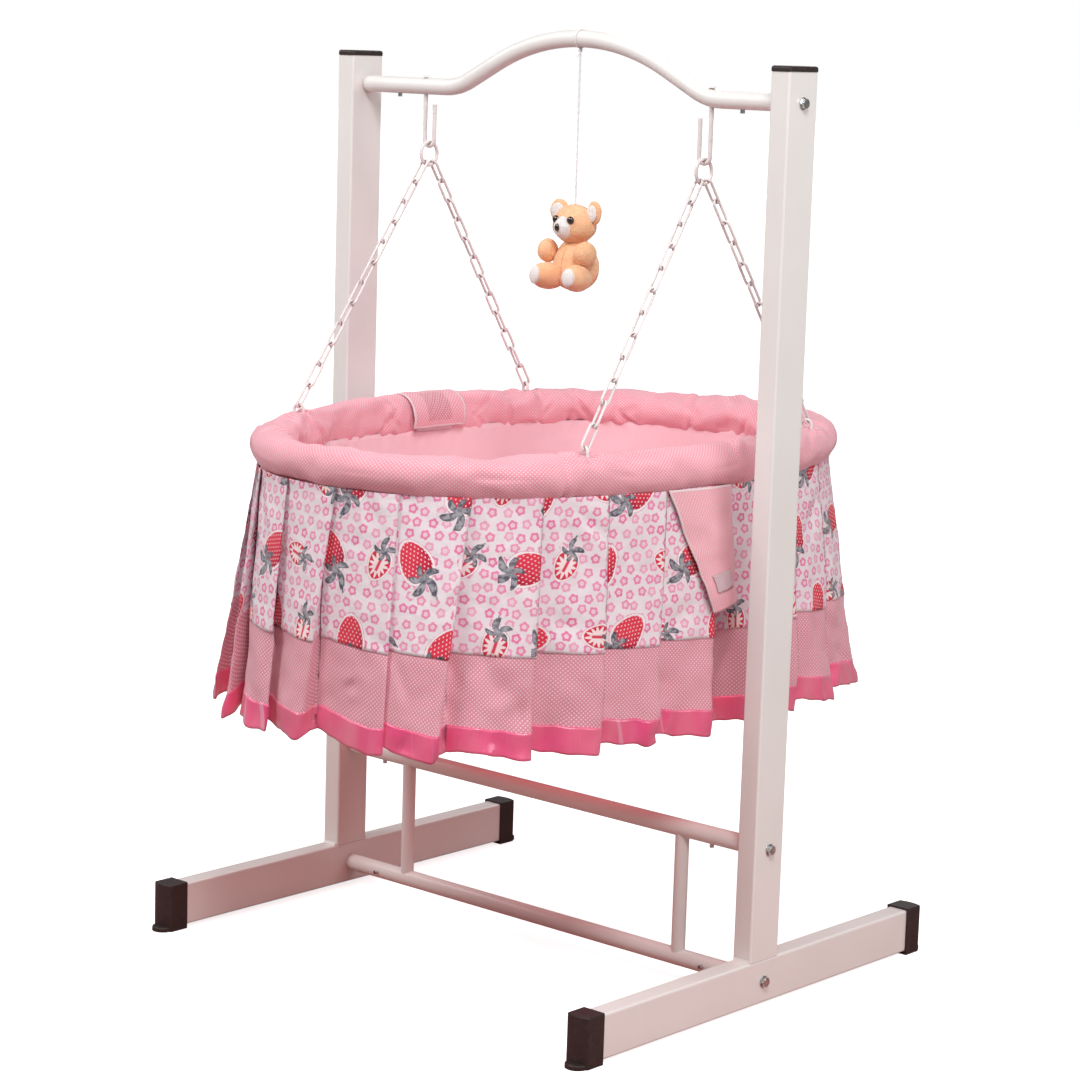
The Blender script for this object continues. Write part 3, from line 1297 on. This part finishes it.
def paint_frame():
    """Give every node that is carried over from the frame its material."""
    paint, plastic, metal = frame_paint(), moulded_plastic(), zinc()
    chain, board = chain_paint(), board_grain()
    for name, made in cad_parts.items():
        if name.startswith(("post_cap", "foot_cap")):
            finish = plastic
        elif name.startswith(("chain_", "ring_", "hook_")):
            finish = chain
        elif name in ("frame_bolts", "frame_washers", "set_screws", "tube_end_nuts"):
            finish = metal
        elif name == "base_board":
            finish = board
        else:
            finish = paint
        if not made.hide_render:
            for place in made.material_slots:
                place.material = finish


# ---------------------------------------------------------------- stage, light, camera

CAMERA_PLACE = (2.2247, -2.5330, 1.0513)
CAMERA_YAW = math.radians(41.467)       # to the left of +Y
CAMERA_PITCH = math.radians(9.616)      # downwards
CAMERA_ROLL = math.radians(1.796)
CAMERA_LENS = 98.26                     # millimetres, for a sensor 36 mm wide
BACKDROP_LIGHT = 0.27                   # light that the backdrop gives, against the white it shows


def seen_by_camera(tree):
    """1 for what the camera sees directly, 0 for light that bounces on."""
    return tree.nodes.new("ShaderNodeLightPath").outputs["Is Camera Ray"]


def floor():
    """Wide pale floor. It looks white, but passes on less light than white, and pinker under the basket."""
    work = bmesh.new()
    bmesh.ops.create_circle(work, cap_ends=True, radius=40.0, segments=96)
    mesh = bpy.data.meshes.new("floor")
    work.to_mesh(mesh)
    work.free()
    made = add_object("floor", mesh)
    g = Graph("pale_floor")
    shown = g.mix(g.noise(g.place(), 0.8), (0.90, 0.90, 0.90), (0.93, 0.93, 0.93))
    seen = Flow(g, seen_by_camera(g.tree))
    from_middle = Flow(g, g.node("ShaderNodeVectorMath", {0: g.place()}, operation="LENGTH").outputs["Value"])
    passed_on = g.mix(g.below(from_middle, 0.95, 0.45), (0.36, 0.34, 0.33), (0.50, 0.22, 0.20))
    colour = g.mix(seen, passed_on, shown)
    glow = 1.0 - g.below(from_middle, 1.9, 0.9) * 0.24
    mesh.materials.append(g.finish(colour, 0.9, Specular_IOR_Level=0.1, Emission_Color=(1.0, 1.0, 1.0, 1.0),
                                   Emission_Strength=seen * glow))


def backdrop():
    """White all round, which lights the cradle less than it shows."""
    world = bpy.data.worlds.new("studio")
    world.use_nodes = True
    tree = world.node_tree
    background = tree.nodes["Background"]
    background.inputs[0].default_value = (1.0, 1.0, 1.0, 1.0)
    strength = tree.nodes.new("ShaderNodeMapRange")
    tree.links.new(seen_by_camera(tree), strength.inputs[0])
    strength.inputs[3].default_value = BACKDROP_LIGHT
    strength.inputs[4].default_value = 1.0
    tree.links.new(strength.outputs[0], background.inputs[1])
    bpy.context.scene.world = world


def area_light(name, place, target, size, power, colour=(1.0, 1.0, 1.0)):
    """Round soft light that points at a target; the camera doesn't see it."""
    light = bpy.data.lights.new(name, "AREA")
    light.shape = "DISK"
    light.size = size
    light.energy = power
    light.color = colour
    made = add_object(name, light)
    made.location = place
    made.rotation_euler = (Vector(target) - Vector(place)).to_track_quat("-Z", "Y").to_euler()
    made.visible_camera = False


def camera():
    """The photo's view of the cradle."""
    yaw, roll = CAMERA_YAW, CAMERA_ROLL
    flat = math.cos(CAMERA_PITCH)
    forward = Vector((-math.sin(yaw) * flat, math.cos(yaw) * flat, -math.sin(CAMERA_PITCH)))
    level = Vector((math.cos(yaw), math.sin(yaw), 0))
    above = level.cross(forward)
    right = math.cos(roll) * level + math.sin(roll) * above
    up = -math.sin(roll) * level + math.cos(roll) * above
    data = bpy.data.cameras.new("camera")
    data.lens = CAMERA_LENS
    data.sensor_width = 36.0
    data.clip_end = 100.0
    made = add_object("camera", data)
    made.matrix_world = Matrix((
        (right.x, up.x, -forward.x, CAMERA_PLACE[0]),
        (right.y, up.y, -forward.y, CAMERA_PLACE[1]),
        (right.z, up.z, -forward.z, CAMERA_PLACE[2]),
        (0, 0, 0, 1),
    ))
    bpy.context.scene.camera = made


def lights():
    """Soft studio lights, and a faint one for the light that comes through the pink cloth."""
    middle = (0, 0, 0.6)
    area_light("key", (1.8, -1.5, 3.0), middle, 1.1, 52)
    area_light("front", (-0.9, -2.3, 2.7), middle, 1.3, 41)
    area_light("left", (-2.2, -0.9, 2.4), middle, 1.4, 12)
    area_light("side", (3.0, 0.3, 1.7), (0, 0, 0.8), 1.5, 30)
    area_light("back", (-1.2, 2.6, 2.6), middle, 1.5, 16)
    under_bag = (0, 0, bag_low.z - 10 * MM)
    area_light("glow_through_cloth", under_bag, (0, 0, 0), 0.55, 0.26, (1.0, 0.10, 0.12))


def build():
    """Make every piece, the stage, the lights and the camera."""
    rim_pad(dotted_cloth("rim_cloth", srgb(249, 174, 188), srgb(231, 141, 157)))
    skirt(print_cloth(), dotted_cloth("band_cloth", srgb(231, 158, 174), srgb(214, 132, 150)), satin())
    bag_sheet(plain_cloth("liner_cloth", srgb(255, 216, 224), srgb(255, 200, 209)))
    mattress_pad(plain_cloth("mattress_cloth", srgb(253, 196, 205), srgb(247, 178, 190)))
    mattress_piping(plain_cloth("piping_cloth", srgb(244, 140, 158), srgb(232, 120, 140)))
    left_strap()
    patches(touch_fastener(), right_strap())
    bear()
    cord_pieces()
    paint_frame()
    floor()
    backdrop()
    lights()
    camera()
    bpy.context.scene.view_settings.view_transform = "Standard"


build()
